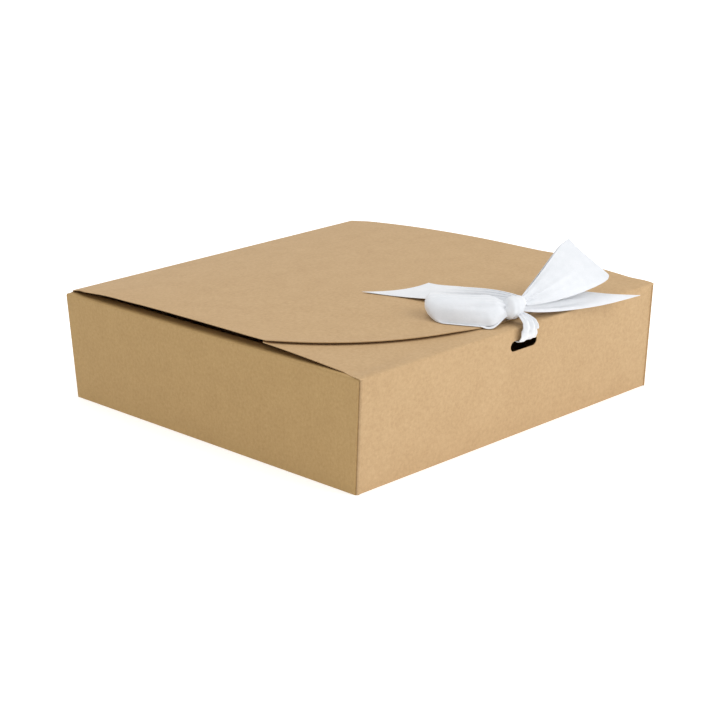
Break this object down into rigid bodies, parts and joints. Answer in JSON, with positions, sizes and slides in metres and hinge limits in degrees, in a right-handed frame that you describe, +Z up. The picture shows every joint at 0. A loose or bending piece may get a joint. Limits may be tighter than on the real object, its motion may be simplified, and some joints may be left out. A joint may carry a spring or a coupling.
{
  "type": "gift box",
  "caption": "Square kraft card gift box with double side walls, a hinged arched lid over a hinged front flap, and a satin ribbon tied in a bow at the front.",
  "frame": {"origin": "centre of the base's underside, on the table", "axes": "+Z up, -Y towards the front wall with the ribbon slot, +X to the right seen from the front"},
  "size_m": [0.3, 0.3244, 0.1229],
  "materials": {
    "kraft_card": "matte",
    "satin_ribbon": "satin"
  },
  "bodies": {
    "tray": {"base_panel": "kraft_card", "front_wall": "kraft_card", "back_wall": "kraft_card", "left_outer_wall": "kraft_card", "right_outer_wall": "kraft_card", "left_rim_fold": "kraft_card", "right_rim_fold": "kraft_card", "left_inner_wall": "kraft_card", "right_inner_wall": "kraft_card", "front_left_tab": "kraft_card", "front_right_tab": "kraft_card", "back_left_tab": "kraft_card", "back_right_tab": "kraft_card", "ribbon_front_strap": "satin_ribbon"},
    "lid": {"lid_panel": "kraft_card", "ribbon_lid_strand": "satin_ribbon", "bow_knot": "satin_ribbon", "bow_loop_left": "satin_ribbon", "bow_loop_right": "satin_ribbon", "bow_tail_left": "satin_ribbon", "bow_tail_right": "satin_ribbon"},
    "flap": {"front_flap": "kraft_card"}
  },
  "joints": [
    {"name": "lid_hinge", "type": "hinge", "parent": "tray", "child": "lid", "pos_m": [0, 0.1555, 0.0797], "axis": [-1, 0, 0], "range_deg": [0, 115]},
    {"name": "flap_hinge", "type": "hinge", "parent": "tray", "child": "flap", "pos_m": [0, -0.1566, 0.0794], "axis": [1, 0, 0], "range_deg": [0, 115]}
  ],
  "couplings": [
    {"joint": "flap_hinge", "follows": "lid_hinge", "ratio": 1}
  ]
}
